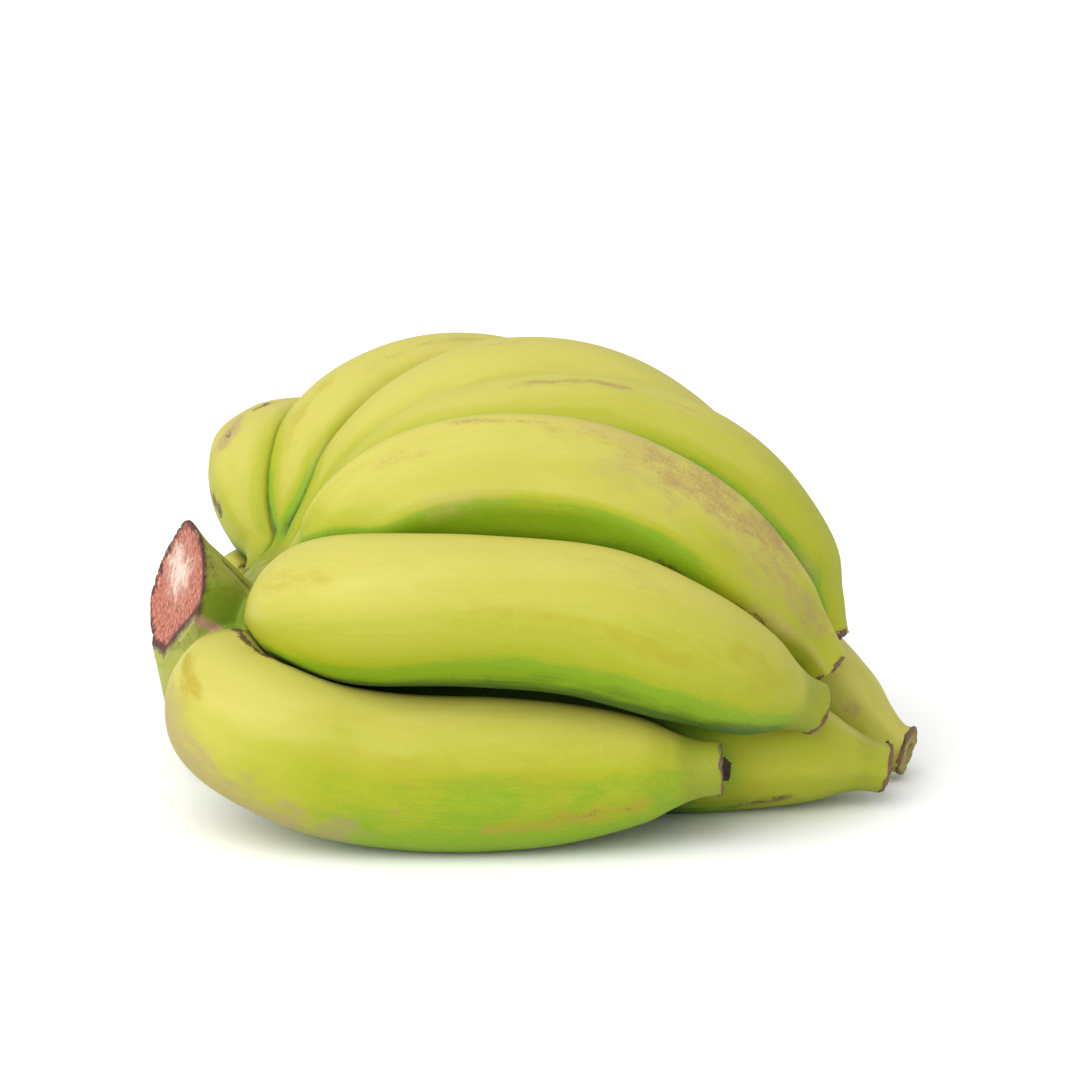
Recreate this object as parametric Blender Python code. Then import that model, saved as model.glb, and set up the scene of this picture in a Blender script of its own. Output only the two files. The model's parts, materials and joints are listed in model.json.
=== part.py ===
"""A hand of green burro bananas, picked and laid on its side.

Twelve fruits grow in two rows from one crown, the stub of stalk that the hand was cut
off with. The outer row arches over the inner one, and all the tips draw together on
the right. Each fruit is a closed body, pressed flat where it meets its neighbours, and
each carries the dry scar of its flower. Lengths are in millimetres until a mesh is made.
X runs from the crown to the tips, Y from the front to the back, and Z up from the table.
"""

import math

import bmesh
import bpy
import numpy as np
from mathutils import Vector
from mathutils.geometry import interpolate_bezier

MM = 0.001

# Fruit: radius of the body, and the share of it that is left towards the stem and towards
# the blossom end, at distances in millimetres from each
BODY_RADIUS = 18.5
STEM_PROFILE = ((0, 0.475), (9, 0.465), (17, 0.63), (27, 0.83), (40, 0.96), (56, 1.0))
BLOSSOM_PROFILE = (
    (0, 0.355), (5, 0.385), (10, 0.48), (17, 0.665), (24, 0.775), (32, 0.86), (44, 0.95), (60, 1.0)
)
SIDES = 20
STEM_STATIONS = (5, 10, 15, 20, 26, 33, 42)
BLOSSOM_STATIONS = (41, 32, 25, 19, 14, 10, 7, 3.5, 0)
MIDDLE_STATIONS = 7
ROUTE_SAMPLES = 90
CURVE_STEPS = 16

# The peel's five lengthwise ridges, as a share of the radius
RIDGES = 5
RIDGE_HEIGHT = 0.07
RIDGE_MEAN = 0.4

# Where fruits press on each other: the gap left there, how softly the flats' edges turn,
# the least and most that a radius may become, as a share of the free one, and how many
# times, and how much of the way, each guess at the flat is moved towards it
PRESS_GAP = 0.6
CREASE = 0.7
PRESS_LIMITS = (0.15, 1.6)
PRESS_ROUNDS = 8
PRESS_STEP = 0.5

# Gap between a fruit and the crown that it grows from, and between it and its scar
FIT_GAP = 0.3

# Crown: ovals at rising heights, as height, middle x and y, and half width and depth,
# and the knife's slanting cut
CROWN_STATIONS = (
    (8, -77, 13, 8, 8),
    (11, -77.5, 13, 13.5, 15),
    (18, -78.2, 15.5, 16.3, 21.5),
    (28, -79, 17, 17.4, 24),
    (38, -80.5, 16, 17.2, 23),
    (47, -84.5, 7.7, 17, 19.6),
    (56, -88, 1.5, 14.5, 18),
    (64, -91.5, -2.3, 11, 14.8),
    (73, -95.5, -5.2, 9.5, 12.7),
    (82, -99.5, -7.2, 9, 11.8),
)
CROWN_SIDES = 28
CROWN_LUMPS = 0.025
CROWN_LUMP_COUNT = 5
CROWN_LUMP_TWIST = 0.25
CUT_POINT = (-88.3, 0.5, 54)
CUT_NORMAL = (-0.895, -0.39, 0.21)
SHARP_EDGE = 40

# Blossom scar: a ragged dry disc with the stub of the style in its middle
SCAR_SIDES = 12
SCAR_RINGS = ((6.2, 0.0), (6.5, 0.6), (5.3, 1.1), (2.6, 1.3), (2.1, 2.4), (1.0, 3.0))
SCAR_RAGGED = 0.14
SEED = 7

# Finishes, as colour and roughness
PEEL = (0.52, 0.58, 0.09), 0.45
STALK = (0.36, 0.42, 0.09), 0.6
DRY = (0.09, 0.05, 0.04), 0.9

# Each fruit: the route of its middle line from the crown to its tip, its thickness beside
# BODY_RADIUS, how much longer its slender neck is than the shortest, and how far its ridges
# are turned from the bulging side, in degrees. The outer row goes from the front, over the
# top, to the back.
FRUITS = {
    "banana_front_low": (
        [(-72, -2, 35.5), (-74.5, -19, 35.5), (-72, -33, 30), (-57, -42, 24), (-40, -44.5, 19.6),
         (-20, -44, 17.9), (6, -43.4, 17.9), (26, -43.2, 18.5), (44.7, -43.4, 19.2)], 1.02, -2, 24),
    "banana_front_middle": (
        [(-71, 3, 41), (-63.5, -6, 45.4), (-56.5, -17, 50.5), (-49, -29, 54.5), (-36, -37.5, 57),
         (-14, -40, 57.5), (14, -40, 54.6), (36, -39, 46.5), (55.5, -34, 36.4),
         (68.5, -28, 29.8)], 1.0, 0, 24),
    "banana_front_high": (
        [(-72, 8.4, 40.2), (-63, 4.3, 45.2), (-52.5, -2, 52), (-43.5, -8, 61), (-36.5, -12, 71),
         (-24, -13, 79), (-6, -14, 82), (16, -14, 79), (38, -14, 68), (57, -14, 52),
         (67.5, -13.5, 42.5), (72, -13, 36.3)], 1.0, 4, 0),
    "banana_top": (
        [(-71, 13, 40), (-63, 12, 47), (-53, 12, 54), (-43, 12, 63), (-33.5, 13, 72.5),
         (-20, 14, 81.5), (2, 16, 86), (22, 16, 84.5), (44.5, 14, 75), (62.5, 9, 60), (70.5, 4.5, 48),
         (73.3, 0.8, 39.6)], 0.98, 4, 0),
    "banana_top_back": (
        [(-71, 18, 40), (-64, 20, 48), (-55, 24, 56), (-45.5, 28, 65), (-37, 33, 75),
         (-25, 39, 84.5), (-8, 43, 91), (12, 44, 90), (32, 42, 81), (50, 38, 67), (59, 35, 55),
         (62, 34, 48)], 0.96, 8, 0),
    "banana_back_high": (
        [(-71, 22, 40), (-65, 26, 48), (-59, 31, 55.5), (-56, 40, 65), (-52.5, 52, 74),
         (-42, 63, 83.5), (-24, 71, 88.5), (-4, 75, 85), (18, 75, 73), (38, 69, 56),
         (52, 60, 42), (57, 55, 34)], 0.97, 9, 0),
    "banana_back": (
        [(-72, 25, 38), (-68.3, 31.5, 46), (-67, 38, 54), (-69, 47, 61), (-70.5, 58, 67),
         (-68.5, 74, 69.8), (-53, 90, 66.6), (-32, 98, 58), (-8, 99, 49), (14, 95, 40),
         (30, 89, 33), (40, 84, 27)], 0.96, 9, 0),
    "banana_back_low": (
        [(-73, 23, 31), (-76.5, 36, 36), (-77.5, 48, 36.5), (-74, 60, 31), (-64, 71, 24),
         (-46, 79, 18), (-22, 82, 16.6), (2, 80, 16.6), (18, 76, 17), (30, 72, 17.5)],
        0.95, 0, 0),
    "banana_inner_front": (
        [(-72, 5, 28), (-62, 0, 27), (-50, -4, 24.5), (-36, -6, 21), (-16, -10, 18.2),
         (8, -13, 17.6), (34, -15, 17.8), (58, -14.5, 16), (76, -11.5, 12.2), (88.2, -11, 9.5)],
        0.97, 0, 0),
    "banana_inner_middle": (
        [(-72, 12, 35), (-62, 13, 39), (-51, 14, 43.5), (-34, 16, 47.5), (-10, 18, 48),
         (16, 18, 46), (42, 17.8, 40), (62, 18.6, 29.2), (78, 15.8, 18), (91, 11, 9.3), (96, 9, 7.6)],
        0.95, 0, 0),
    "banana_inner_low": (
        [(-72, 14, 26), (-62, 17, 25), (-48, 22, 22), (-30, 27, 18.6), (-8, 30, 16.8),
         (16, 32, 16.6), (36, 34, 16.5), (52, 36, 15), (64, 38, 13)], 0.93, 0, 0),
    "banana_inner_back": (
        [(-72, 19, 33), (-63, 25, 37), (-52, 32, 41.5), (-36, 42, 46), (-14, 49, 48),
         (8, 51, 46), (26, 50, 41), (38, 49, 37), (45, 48, 34)], 0.93, 0, 0),
}


def profile(points, distance):
    """The radius at a distance along a few given radii, with no corners between them."""
    xs, ys = (np.array(values, float) for values in zip(*points))
    slopes = np.gradient(ys, xs)
    slopes[-1] = 0.0
    at = np.clip(distance, xs[0], xs[-1])
    i = np.clip(np.searchsorted(xs, at, side="right") - 1, 0, len(xs) - 2)
    span = xs[i + 1] - xs[i]
    t = (at - xs[i]) / span
    return (
        ys[i] * (1 + 2 * t) * (1 - t) ** 2
        + ys[i + 1] * (3 - 2 * t) * t**2
        + slopes[i] * span * t * (1 - t) ** 2
        + slopes[i + 1] * span * (t - 1) * t**2
    )


def smooth_route(points, samples=ROUTE_SAMPLES):
    """Evenly spaced points on a Bezier curve that runs smoothly through the given ones."""
    knots = [Vector(p) for p in points]
    ends = [2 * knots[0] - knots[1], *knots, 2 * knots[-1] - knots[-2]]
    line = [knots[0]]
    for before, start, end, after in zip(ends, ends[1:], ends[2:], ends[3:]):
        handles = start + (end - before) / 6, end - (after - start) / 6
        line += interpolate_bezier(start, *handles, end, CURVE_STEPS)[1:]
    line = np.array(line)
    run = np.concatenate([[0], np.cumsum(np.linalg.norm(np.diff(line, axis=0), axis=1))])
    even = np.linspace(0, run[-1], samples)
    return even, np.stack([np.interp(even, run, axis) for axis in line.T], axis=1)


def unit(vectors):
    return vectors / np.linalg.norm(vectors, axis=-1, keepdims=True)


def side_vectors(line, turn):
    """Two directions across the route at each point, the first turned from the bulging side."""
    along = unit(np.gradient(line, axis=0))
    middle = len(line) // 2
    bulge = line[middle] - (line[0] + line[-1]) / 2
    first = np.zeros_like(line)
    first[middle] = unit(bulge - (bulge @ along[middle]) * along[middle])
    for step, stop in ((1, len(line)), (-1, -1)):
        for i in range(middle + step, stop, step):
            carried = first[i - step]
            first[i] = unit(carried - (carried @ along[i]) * along[i])
    second = np.cross(along, first)
    return (
        math.cos(turn) * first + math.sin(turn) * second,
        math.cos(turn) * second - math.sin(turn) * first,
    )


def ridge(angle):
    """How far the peel stands out at an angle round the fruit, as a share of its radius."""
    crest = np.cos(RIDGES * angle / 2) ** 2
    return 1 + RIDGE_HEIGHT * (crest**2 - RIDGE_MEAN)


class Fruit:
    """One banana: its middle line, and a radius for each angle at each station along it."""

    def __init__(self, route, thickness, neck, turn):
        self.run, self.line = smooth_route(route)
        self.length = self.run[-1]
        self.first, self.second = side_vectors(self.line, math.radians(turn))
        self.body = BODY_RADIUS * thickness * np.minimum(
            profile(STEM_PROFILE, self.run - neck),
            profile(BLOSSOM_PROFILE, self.length - self.run),
        )
        near_stem = neck + np.array(STEM_STATIONS)
        near_tip = self.length - np.array(BLOSSOM_STATIONS)
        middle = np.linspace(near_stem[-1], near_tip[0], MIDDLE_STATIONS + 2)[1:-1]
        self.stations = np.concatenate([[0], near_stem, middle, near_tip])
        self.angles = np.arange(SIDES) * math.tau / SIDES
        centre, first, second = (
            self.at_stations(values)[:, None] for values in (self.line, self.first, self.second)
        )
        spin = self.angles[None, :, None]
        self.centre = centre
        self.outward = unit(np.cos(spin) * first + np.sin(spin) * second)
        self.free = self.at_stations(self.body[:, None]) * ridge(self.angles)
        self.radius = self.free.copy()

    def at_stations(self, values):
        return np.stack([np.interp(self.stations, self.run, v) for v in values.T], axis=1)

    def points(self):
        return self.centre + self.radius[..., None] * self.outward

    def depth_of(self, points):
        """How far each point is from this fruit's free surface, and negative inside it."""
        away = points[..., None, :] - self.line
        nearest = np.linalg.norm(away, axis=-1).argmin(axis=-1)
        away = np.take_along_axis(away, nearest[..., None, None], axis=-2)[..., 0, :]
        angle = np.arctan2(
            (away * self.second[nearest]).sum(-1), (away * self.first[nearest]).sum(-1)
        )
        return np.linalg.norm(away, axis=-1) - self.body[nearest] * ridge(angle)

    def pressed_by(self, other):
        """The radius at which this fruit's peel meets the other's, half way into their overlap."""
        radius = self.free.copy()
        for _ in range(PRESS_ROUNDS):
            points = self.centre + radius[..., None] * self.outward
            room = other.depth_of(points) - self.depth_of(points) - PRESS_GAP
            radius += PRESS_STEP * room
            radius = np.clip(radius, *(limit * self.free for limit in PRESS_LIMITS))
        return radius


def press_together(fruits):
    """Flattens fruits where they meet, with a soft crease at the edge of each flat."""
    for fruit in fruits:
        total = np.ones_like(fruit.free)
        for other in fruits:
            if other is not fruit:
                total = total + np.exp((fruit.free - fruit.pressed_by(other)) / CREASE)
        fruit.radius = fruit.free - CREASE * np.log(total)


def loft(name, rings):
    """A closed body through rings of points, in metres, with a flat cap on each end."""
    shape = bmesh.new()
    loops = [[shape.verts.new(Vector(p) * MM) for p in ring] for ring in rings]
    for lower, upper in zip(loops, loops[1:]):
        for i in range(len(lower)):
            j = (i + 1) % len(lower)
            shape.faces.new((lower[i], lower[j], upper[j], upper[i]))
    shape.faces.new(loops[0][::-1])
    shape.faces.new(loops[-1])
    bmesh.ops.recalc_face_normals(shape, faces=shape.faces)
    mesh = bpy.data.meshes.new(name)
    shape.to_mesh(mesh)
    shape.free()
    body = bpy.data.objects.new(name, mesh)
    bpy.context.scene.collection.objects.link(body)
    mesh.shade_smooth()
    return body


def material(name, colour, roughness):
    made = bpy.data.materials.new(name)
    made.use_nodes = True
    shader = made.node_tree.nodes["Principled BSDF"]
    shader.inputs["Base Color"].default_value = (*colour, 1)
    shader.inputs["Roughness"].default_value = roughness
    shader.inputs["Metallic"].default_value = 0
    return made


def crown_rings(grow):
    """Oval rings up the crown, each grown outwards by the same distance."""
    rings = []
    for level, (height, x, y, half_width, half_depth) in enumerate(CROWN_STATIONS):
        ring = []
        for i in range(CROWN_SIDES):
            angle = math.tau * i / CROWN_SIDES
            bulge = math.cos(CROWN_LUMP_COUNT * angle + CROWN_LUMP_TWIST * level)
            lump = 1 + CROWN_LUMPS * bulge
            ring.append((
                x + (half_width * lump + grow) * math.cos(angle),
                y + (half_depth * lump + grow) * math.sin(angle),
                height - (grow if level == 0 else 0),
            ))
        rings.append(ring)
    return rings


def make_crown(name, grow=0.0):
    """The stub, with the slanting cut where the hand left the stalk."""
    crown = loft(name, crown_rings(grow))
    shape = bmesh.new()
    shape.from_mesh(crown.data)
    normal = Vector(CUT_NORMAL).normalized()
    cut = bmesh.ops.bisect_plane(
        shape,
        geom=[*shape.verts, *shape.edges, *shape.faces],
        plane_co=(Vector(CUT_POINT) + normal * grow) * MM,
        plane_no=normal,
        clear_outer=True,
    )
    rim = [part for part in cut["geom_cut"] if isinstance(part, bmesh.types.BMEdge)]
    bmesh.ops.holes_fill(shape, edges=rim)
    bmesh.ops.recalc_face_normals(shape, faces=shape.faces)
    shape.to_mesh(crown.data)
    shape.free()
    crown.data.set_sharp_from_angle(angle=math.radians(SHARP_EDGE))
    return crown


def make_fruit(name, fruit, around_crown):
    """The banana's body, flat where it lies on the table and cut to fit the crown."""
    rings = fruit.points()
    rings[..., 2] = np.maximum(rings[..., 2], 0.0)
    body = loft(name, rings)
    fit = body.modifiers.new("fit to crown", "BOOLEAN")
    fit.operation = "DIFFERENCE"
    fit.object = around_crown
    return body


def make_scar(name, fruit, rng):
    """The dried flower's scar, standing off the blossom end by the usual gap."""
    tip, along = fruit.line[-1], unit(fruit.line[-1] - fruit.line[-3])
    rings = []
    for radius, height in SCAR_RINGS:
        ragged = 1 + SCAR_RAGGED * rng.uniform(-1, 1, SCAR_SIDES)
        ring = [
            tip
            + along * (FIT_GAP + height)
            + radius * share * (math.cos(a) * fruit.first[-1] + math.sin(a) * fruit.second[-1])
            for share, a in zip(ragged, np.arange(SCAR_SIDES) * math.tau / SCAR_SIDES)
        ]
        rings.append(ring)
    return loft(name, rings)


def stand_at_origin(bodies):
    """Moves everything so that the origin is on the table, under the middle of the hand's box."""
    corners = np.concatenate([[vertex.co for vertex in body.data.vertices] for body in bodies])
    low, high = corners.min(axis=0), corners.max(axis=0)
    shift = Vector((-(low[0] + high[0]) / 2, -(low[1] + high[1]) / 2, -low[2]))
    for placed in bpy.data.objects:
        placed.location += shift


def main():
    for old in list(bpy.data.objects):
        bpy.data.objects.remove(old)
    peel = material("peel", *PEEL)
    stalk = material("crown", *STALK)
    dry = material("blossom_scar", *DRY)
    crown = make_crown("crown")
    crown.data.materials.append(stalk)
    around_crown = make_crown("around_crown", grow=FIT_GAP)
    around_crown.hide_render = True
    around_crown.display_type = "WIRE"
    bodies = [crown]
    fruits = {name: Fruit(*values) for name, values in FRUITS.items()}
    press_together(list(fruits.values()))
    rng = np.random.default_rng(SEED)
    for name, fruit in fruits.items():
        body = make_fruit(name, fruit, around_crown)
        body.data.materials.append(peel)
        scar = make_scar(name.replace("banana", "scar"), fruit, rng)
        scar.data.materials.append(dry)
        bodies += [body, scar]
    stand_at_origin(bodies)


main()
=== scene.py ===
import functools
import json
import math

import bpy
import numpy as np
from bpy.props import FloatProperty, FloatVectorProperty, IntProperty, PointerProperty
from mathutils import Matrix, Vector, kdtree
from mathutils.geometry import interpolate_bezier

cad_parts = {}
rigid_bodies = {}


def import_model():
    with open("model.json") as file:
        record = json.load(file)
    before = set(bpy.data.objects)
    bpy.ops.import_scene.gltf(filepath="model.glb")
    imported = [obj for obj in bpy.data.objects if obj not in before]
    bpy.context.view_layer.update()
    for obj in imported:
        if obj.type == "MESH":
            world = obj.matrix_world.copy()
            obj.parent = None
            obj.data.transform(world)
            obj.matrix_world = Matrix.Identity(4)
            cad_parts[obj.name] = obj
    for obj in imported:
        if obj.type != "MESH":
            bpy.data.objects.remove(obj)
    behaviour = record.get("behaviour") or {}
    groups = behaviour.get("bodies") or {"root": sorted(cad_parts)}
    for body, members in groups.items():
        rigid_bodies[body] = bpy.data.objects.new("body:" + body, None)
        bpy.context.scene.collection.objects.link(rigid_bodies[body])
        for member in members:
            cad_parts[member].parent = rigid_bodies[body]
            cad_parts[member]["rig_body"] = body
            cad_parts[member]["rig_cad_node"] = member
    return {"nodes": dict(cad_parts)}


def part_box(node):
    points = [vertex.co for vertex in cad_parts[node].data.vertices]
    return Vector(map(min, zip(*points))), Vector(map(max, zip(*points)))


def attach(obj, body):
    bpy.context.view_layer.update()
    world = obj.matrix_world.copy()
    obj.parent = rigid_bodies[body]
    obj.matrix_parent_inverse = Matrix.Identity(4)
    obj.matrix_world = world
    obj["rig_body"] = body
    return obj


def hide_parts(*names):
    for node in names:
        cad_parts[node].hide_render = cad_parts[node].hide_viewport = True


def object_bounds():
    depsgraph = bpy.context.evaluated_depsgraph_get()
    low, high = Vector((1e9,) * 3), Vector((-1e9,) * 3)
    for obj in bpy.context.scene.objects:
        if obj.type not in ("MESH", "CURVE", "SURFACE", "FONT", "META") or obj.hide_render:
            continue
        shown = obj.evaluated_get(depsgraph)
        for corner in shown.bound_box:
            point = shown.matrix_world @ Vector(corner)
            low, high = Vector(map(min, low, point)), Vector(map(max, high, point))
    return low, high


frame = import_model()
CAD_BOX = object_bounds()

bl_info = {
    "name": "Hand of Burro Bananas",
    "version": (1, 0, 0),
    "blender": (4, 5, 0),
    "location": "View3D > Sidebar > Fruit",
    "description": "Dresses a hand of green burro bananas: peel, crown, dry flower scars and stage",
    "category": "Object",
}

MM = 0.001

# From the routes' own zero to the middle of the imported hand's box
HAND_SHIFT = np.array((-0.541, -26.856, 0.0))

# Each fruit: the route of its middle line from the crown to its tip in millimetres, its
# thickness beside the common one, how many millimetres its slender neck is longer than usual,
# and how far its ridges are turned from the bulging side, in degrees
FRUITS = {
    "front_low": (
        [(-72, -2, 35.5), (-74.5, -19, 35.5), (-72, -33, 30), (-57, -42, 24), (-40, -44.5, 19.6),
         (-20, -44, 17.9), (6, -43.4, 17.9), (26, -43.2, 18.5), (44.7, -43.4, 19.2)], 1.02, -2, 24),
    "front_middle": (
        [(-71, 3, 41), (-63.5, -6, 45.4), (-56.5, -17, 50.5), (-49, -29, 54.5), (-36, -37.5, 57),
         (-14, -40, 57.5), (14, -40, 54.6), (36, -39, 46.5), (55.5, -34, 36.4),
         (68.5, -28, 29.8)], 1.0, 0, 24),
    "front_high": (
        [(-72, 8.4, 40.2), (-63, 4.3, 45.2), (-52.5, -2, 52), (-43.5, -8, 61), (-36.5, -12, 71),
         (-24, -13, 79), (-6, -14, 82), (16, -14, 79), (38, -14, 68), (57, -14, 52),
         (67.5, -13.5, 42.5), (72, -13, 36.3)], 1.0, 4, 0),
    "top": (
        [(-71, 13, 40), (-63, 12, 47), (-53, 12, 54), (-43, 12, 63), (-33.5, 13, 72.5),
         (-20, 14, 81.5), (2, 16, 86), (22, 16, 84.5), (44.5, 14, 75), (62.5, 9, 60), (70.5, 4.5, 48),
         (73.3, 0.8, 39.6)], 0.98, 4, 0),
    "top_back": (
        [(-71, 18, 40), (-64, 20, 48), (-55, 24, 56), (-45.5, 28, 65), (-37, 33, 75),
         (-25, 39, 84.5), (-8, 43, 91), (12, 44, 90), (32, 42, 81), (50, 38, 67), (59, 35, 55),
         (62, 34, 48)], 0.96, 8, 0),
    "back_high": (
        [(-71, 22, 40), (-65, 26, 48), (-59, 31, 55.5), (-56, 40, 65), (-52.5, 52, 74),
         (-42, 63, 83.5), (-24, 71, 88.5), (-4, 75, 85), (18, 75, 73), (38, 69, 56),
         (52, 60, 42), (57, 55, 34)], 0.97, 9, 0),
    "back": (
        [(-72, 25, 38), (-68.3, 31.5, 46), (-67, 38, 54), (-69, 47, 61), (-70.5, 58, 67),
         (-68.5, 74, 69.8), (-53, 90, 66.6), (-32, 98, 58), (-8, 99, 49), (14, 95, 40),
         (30, 89, 33), (40, 84, 27)], 0.96, 9, 0),
    "back_low": (
        [(-73, 23, 31), (-76.5, 36, 36), (-77.5, 48, 36.5), (-74, 60, 31), (-64, 71, 24),
         (-46, 79, 18), (-22, 82, 16.6), (2, 80, 16.6), (18, 76, 17), (30, 72, 17.5)],
        0.95, 0, 0),
    "inner_front": (
        [(-72, 5, 28), (-62, 0, 27), (-50, -4, 24.5), (-36, -6, 21), (-16, -10, 18.2),
         (8, -13, 17.6), (34, -15, 17.8), (58, -14.5, 16), (76, -11.5, 12.2), (88.2, -11, 9.5)],
        0.97, 0, 0),
    "inner_middle": (
        [(-72, 12, 35), (-62, 13, 39), (-51, 14, 43.5), (-34, 16, 47.5), (-10, 18, 48),
         (16, 18, 46), (42, 17.8, 40), (62, 18.6, 29.2), (78, 15.8, 18), (91, 11, 9.3), (96, 9, 7.6)],
        0.95, 0, 0),
    "inner_low": (
        [(-72, 14, 26), (-62, 17, 25), (-48, 22, 22), (-30, 27, 18.6), (-8, 30, 16.8),
         (16, 32, 16.6), (36, 34, 16.5), (52, 36, 15), (64, 38, 13)], 0.93, 0, 0),
    "inner_back": (
        [(-72, 19, 33), (-63, 25, 37), (-52, 32, 41.5), (-36, 42, 46), (-14, 49, 48),
         (8, 51, 46), (26, 50, 41), (38, 49, 37), (45, 48, 34)], 0.93, 0, 0),
}

# The share of the body's radius that is left towards each end, at distances from it
STEM_PROFILE = ((0, 0.475), (9, 0.465), (17, 0.63), (27, 0.83), (40, 0.96), (56, 1.0))
BLOSSOM_PROFILE = (
    (0, 0.355), (5, 0.385), (10, 0.48), (17, 0.665), (24, 0.775), (32, 0.86), (44, 0.95), (60, 1.0)
)

# The slanting cut that took the hand off the stalk
CUT_POINT = np.array((-88.3, 0.5, 54.0))
CUT_NORMAL = np.array((-0.895, -0.39, 0.21)) / np.linalg.norm((-0.895, -0.39, 0.21))

# Where the cut's dried fibres end: lines on the cut's plane, each as a point in millimetres
# across and up from CUT_POINT and the direction away from the fibres
CUT_ENDS = (((-7.0, -18.8), (0.0, -1.0)), ((5.0, -11.6), (0.625, -0.781)))

# Marks on the crown: the kind, how strong it is, how wide in millimetres, and then the places
# that it runs through
CROWN_MARKS = (
    # The shaded mark is partly the stalk's own deeper green and partly painted shade on the lower
    # front of the crown, towards the necks
    ("shaded", 1.0, 8.0, (-79.3, -38.6, 51.5), (-76.5, -35.8, 48.5), (-72.0, -31.3, 44.0)),
    ("rib", 0.75, 1.3, (-82.7, -31.8, 66.5), (-77.5, -30.5, 59.9), (-72.1, -28.3, 52.4)),
    ("rib", 0.8, 1.2, (-84.9, -38.8, 47.8), (-84.6, -33.9, 38.8)),
    ("rib", 0.8, 1.6, (-97.5, -9.3, 36.0), (-96.0, -7.3, 22.0), (-92.0, -5.3, 12.0)),
    ("blush", 1.0, 1.8, (-83.1, -39.2, 47.7), (-79.2, -37.0, 45.3)),
    ("bruise", 1.0, 1.5, (-84.8, -26.8, 70.6), (-83.2, -32.6, 66.7)),
    ("bruise", 0.8, 1.1, (-83.2, -32.6, 66.7), (-81.9, -37.5, 62.8), (-82.1, -40.3, 56.9)),
    # This bruise runs into the gap where a neck meets the crown: partly brown spots, partly painted
    # shade in that gap
    ("bruise", 0.6, 1.3, (-72.3, -25.9, 53.3), (-74.0, -28.2, 55.9), (-77.5, -28.8, 60.0)),
    ("bruise", 0.45, 1.6, (-80.5, -34.8, 62.5), (-80.0, -36.9, 58.5)),
)
CROWN_KINDS = ("shaded", "rib", "blush", "bruise")

# Millimetres of the crown's skin under the cut that belong to it, those that are taken for its
# edge, how deep its fibres have sunk, and how far its edge is frayed
CUT_SKIN = 0.45
CUT_EDGE = (0.6, 1.6)
SUNK = 0.55
FRAY = 0.8

# Marks of growth and handling on a fruit: the kind, how strong it is, how wide in millimetres,
# and then the places that it runs through, each as millimetres along and degrees round
MARKS = {
    "front_low": (
        ("stain", 1.0, 2.5, (27, -73), (32, -69)),
        ("stain", 0.3, 6.0, (30, -56), (34, -80)),
        ("bruise", 1.1, 1.2, (15, -116), (21, -127), (27, -135), (36, -139), (43, -141)),
        ("blush", 0.8, 6.5, (30, -24), (40, -6), (52, -4), (64, -2)),
        ("scuff", 0.4, 1.5, (97, -20), (112, -21), (122, -26)),
        ("bruise", 0.32, 1.0, (106, -28), (124, -30), (136, -26)),
        ("stain", 0.8, 2.6, (98, -22), (124, -28), (134, -26)),
        ("scuff", 0.8, 1.0, (76, -38), (77.5, -37)),
        ("stain", 0.4, 5.0, (60, -70), (118, -64)),
    ),
    "front_middle": (
        ("stain", 0.45, 4.0, (37, -31), (48, -26)),
        ("stain", 0.5, 2.4, (81, -3), (97, 0)),
        ("stain", 0.5, 2.2, (97, 0), (128, 8)),
        ("scuff", 0.35, 4.0, (100, -52), (118, -46)),
        ("stain", 0.4, 5.0, (140, -20), (148, -12)),
    ),
    "front_high": (
        ("scuff", 0.8, 7.5, (122, 16), (134, 10), (144, 14)),
        ("scuff", 0.6, 6.0, (144, 14), (156, 24), (167, 42)),
        ("scuff", 0.75, 1.4, (76, 4), (93, 7)),
        ("scuff", 0.4, 4.0, (54, 21), (66, 21)),
        ("scuff", 0.35, 6.0, (96, 12), (120, 16)),
        ("blush", 0.45, 9.0, (112, 22), (134, 24), (158, 34)),
        ("bruise", 0.6, 2.4, (127, 93), (138, 98)),
        ("bruise", 0.7, 1.3, (149, 86), (156, 82)),
    ),
    "top": (
        ("scuff", 0.8, 1.7, (83, 26), (94, 20), (106, 21)),
        ("scuff", 0.35, 3.0, (118, 24), (140, 30)),
    ),
    "top_back": (
        ("scuff", 0.35, 4.0, (80, 20), (110, 14)),
    ),
    "back_high": (
        ("scuff", 0.4, 3.0, (70, 60), (96, 52)),
        ("stain", 0.5, 3.5, (44, 34), (60, 34)),
    ),
    "back": (
        ("bruise", 0.85, 2.4, (36, -23), (39, -26)),
        ("bruise", 0.6, 1.6, (39, -26), (45, -32)),
        ("bruise", 0.9, 1.3, (7, -14), (9.5, -3), (11, 8)),
        ("blush", 0.95, 3.0, (47, 10), (54, 27)),
        ("bruise", 0.5, 1.2, (49, 16), (53, 24)),
        ("bruise", 0.9, 1.5, (56.5, 42), (58.5, 49)),
        ("scuff", 0.7, 1.2, (58, 50), (62, 66)),
    ),
    "back_low": (
        ("bruise", 0.8, 1.1, (17.5, 64), (20, 82)),
    ),
    "inner_front": (
        ("bruise", 0.6, 3.4, (127, 47), (137, 44)),
        ("stain", 0.6, 6.0, (112, 20), (128, 40)),
    ),
    "inner_middle": (
        ("scuff", 0.7, 2.2, (160, 87), (166, 91)),
        ("scuff", 0.4, 3.0, (140, 60), (152, 70)),
    ),
}
MARK_KINDS = ("stain", "blush", "scuff", "bruise")

# Further marks on each fruit's hidden side, and how likely each kind is there
CHANCE_MARKS = 5
CHANCES = (0.25, 0.15, 0.4, 0.2)
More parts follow.
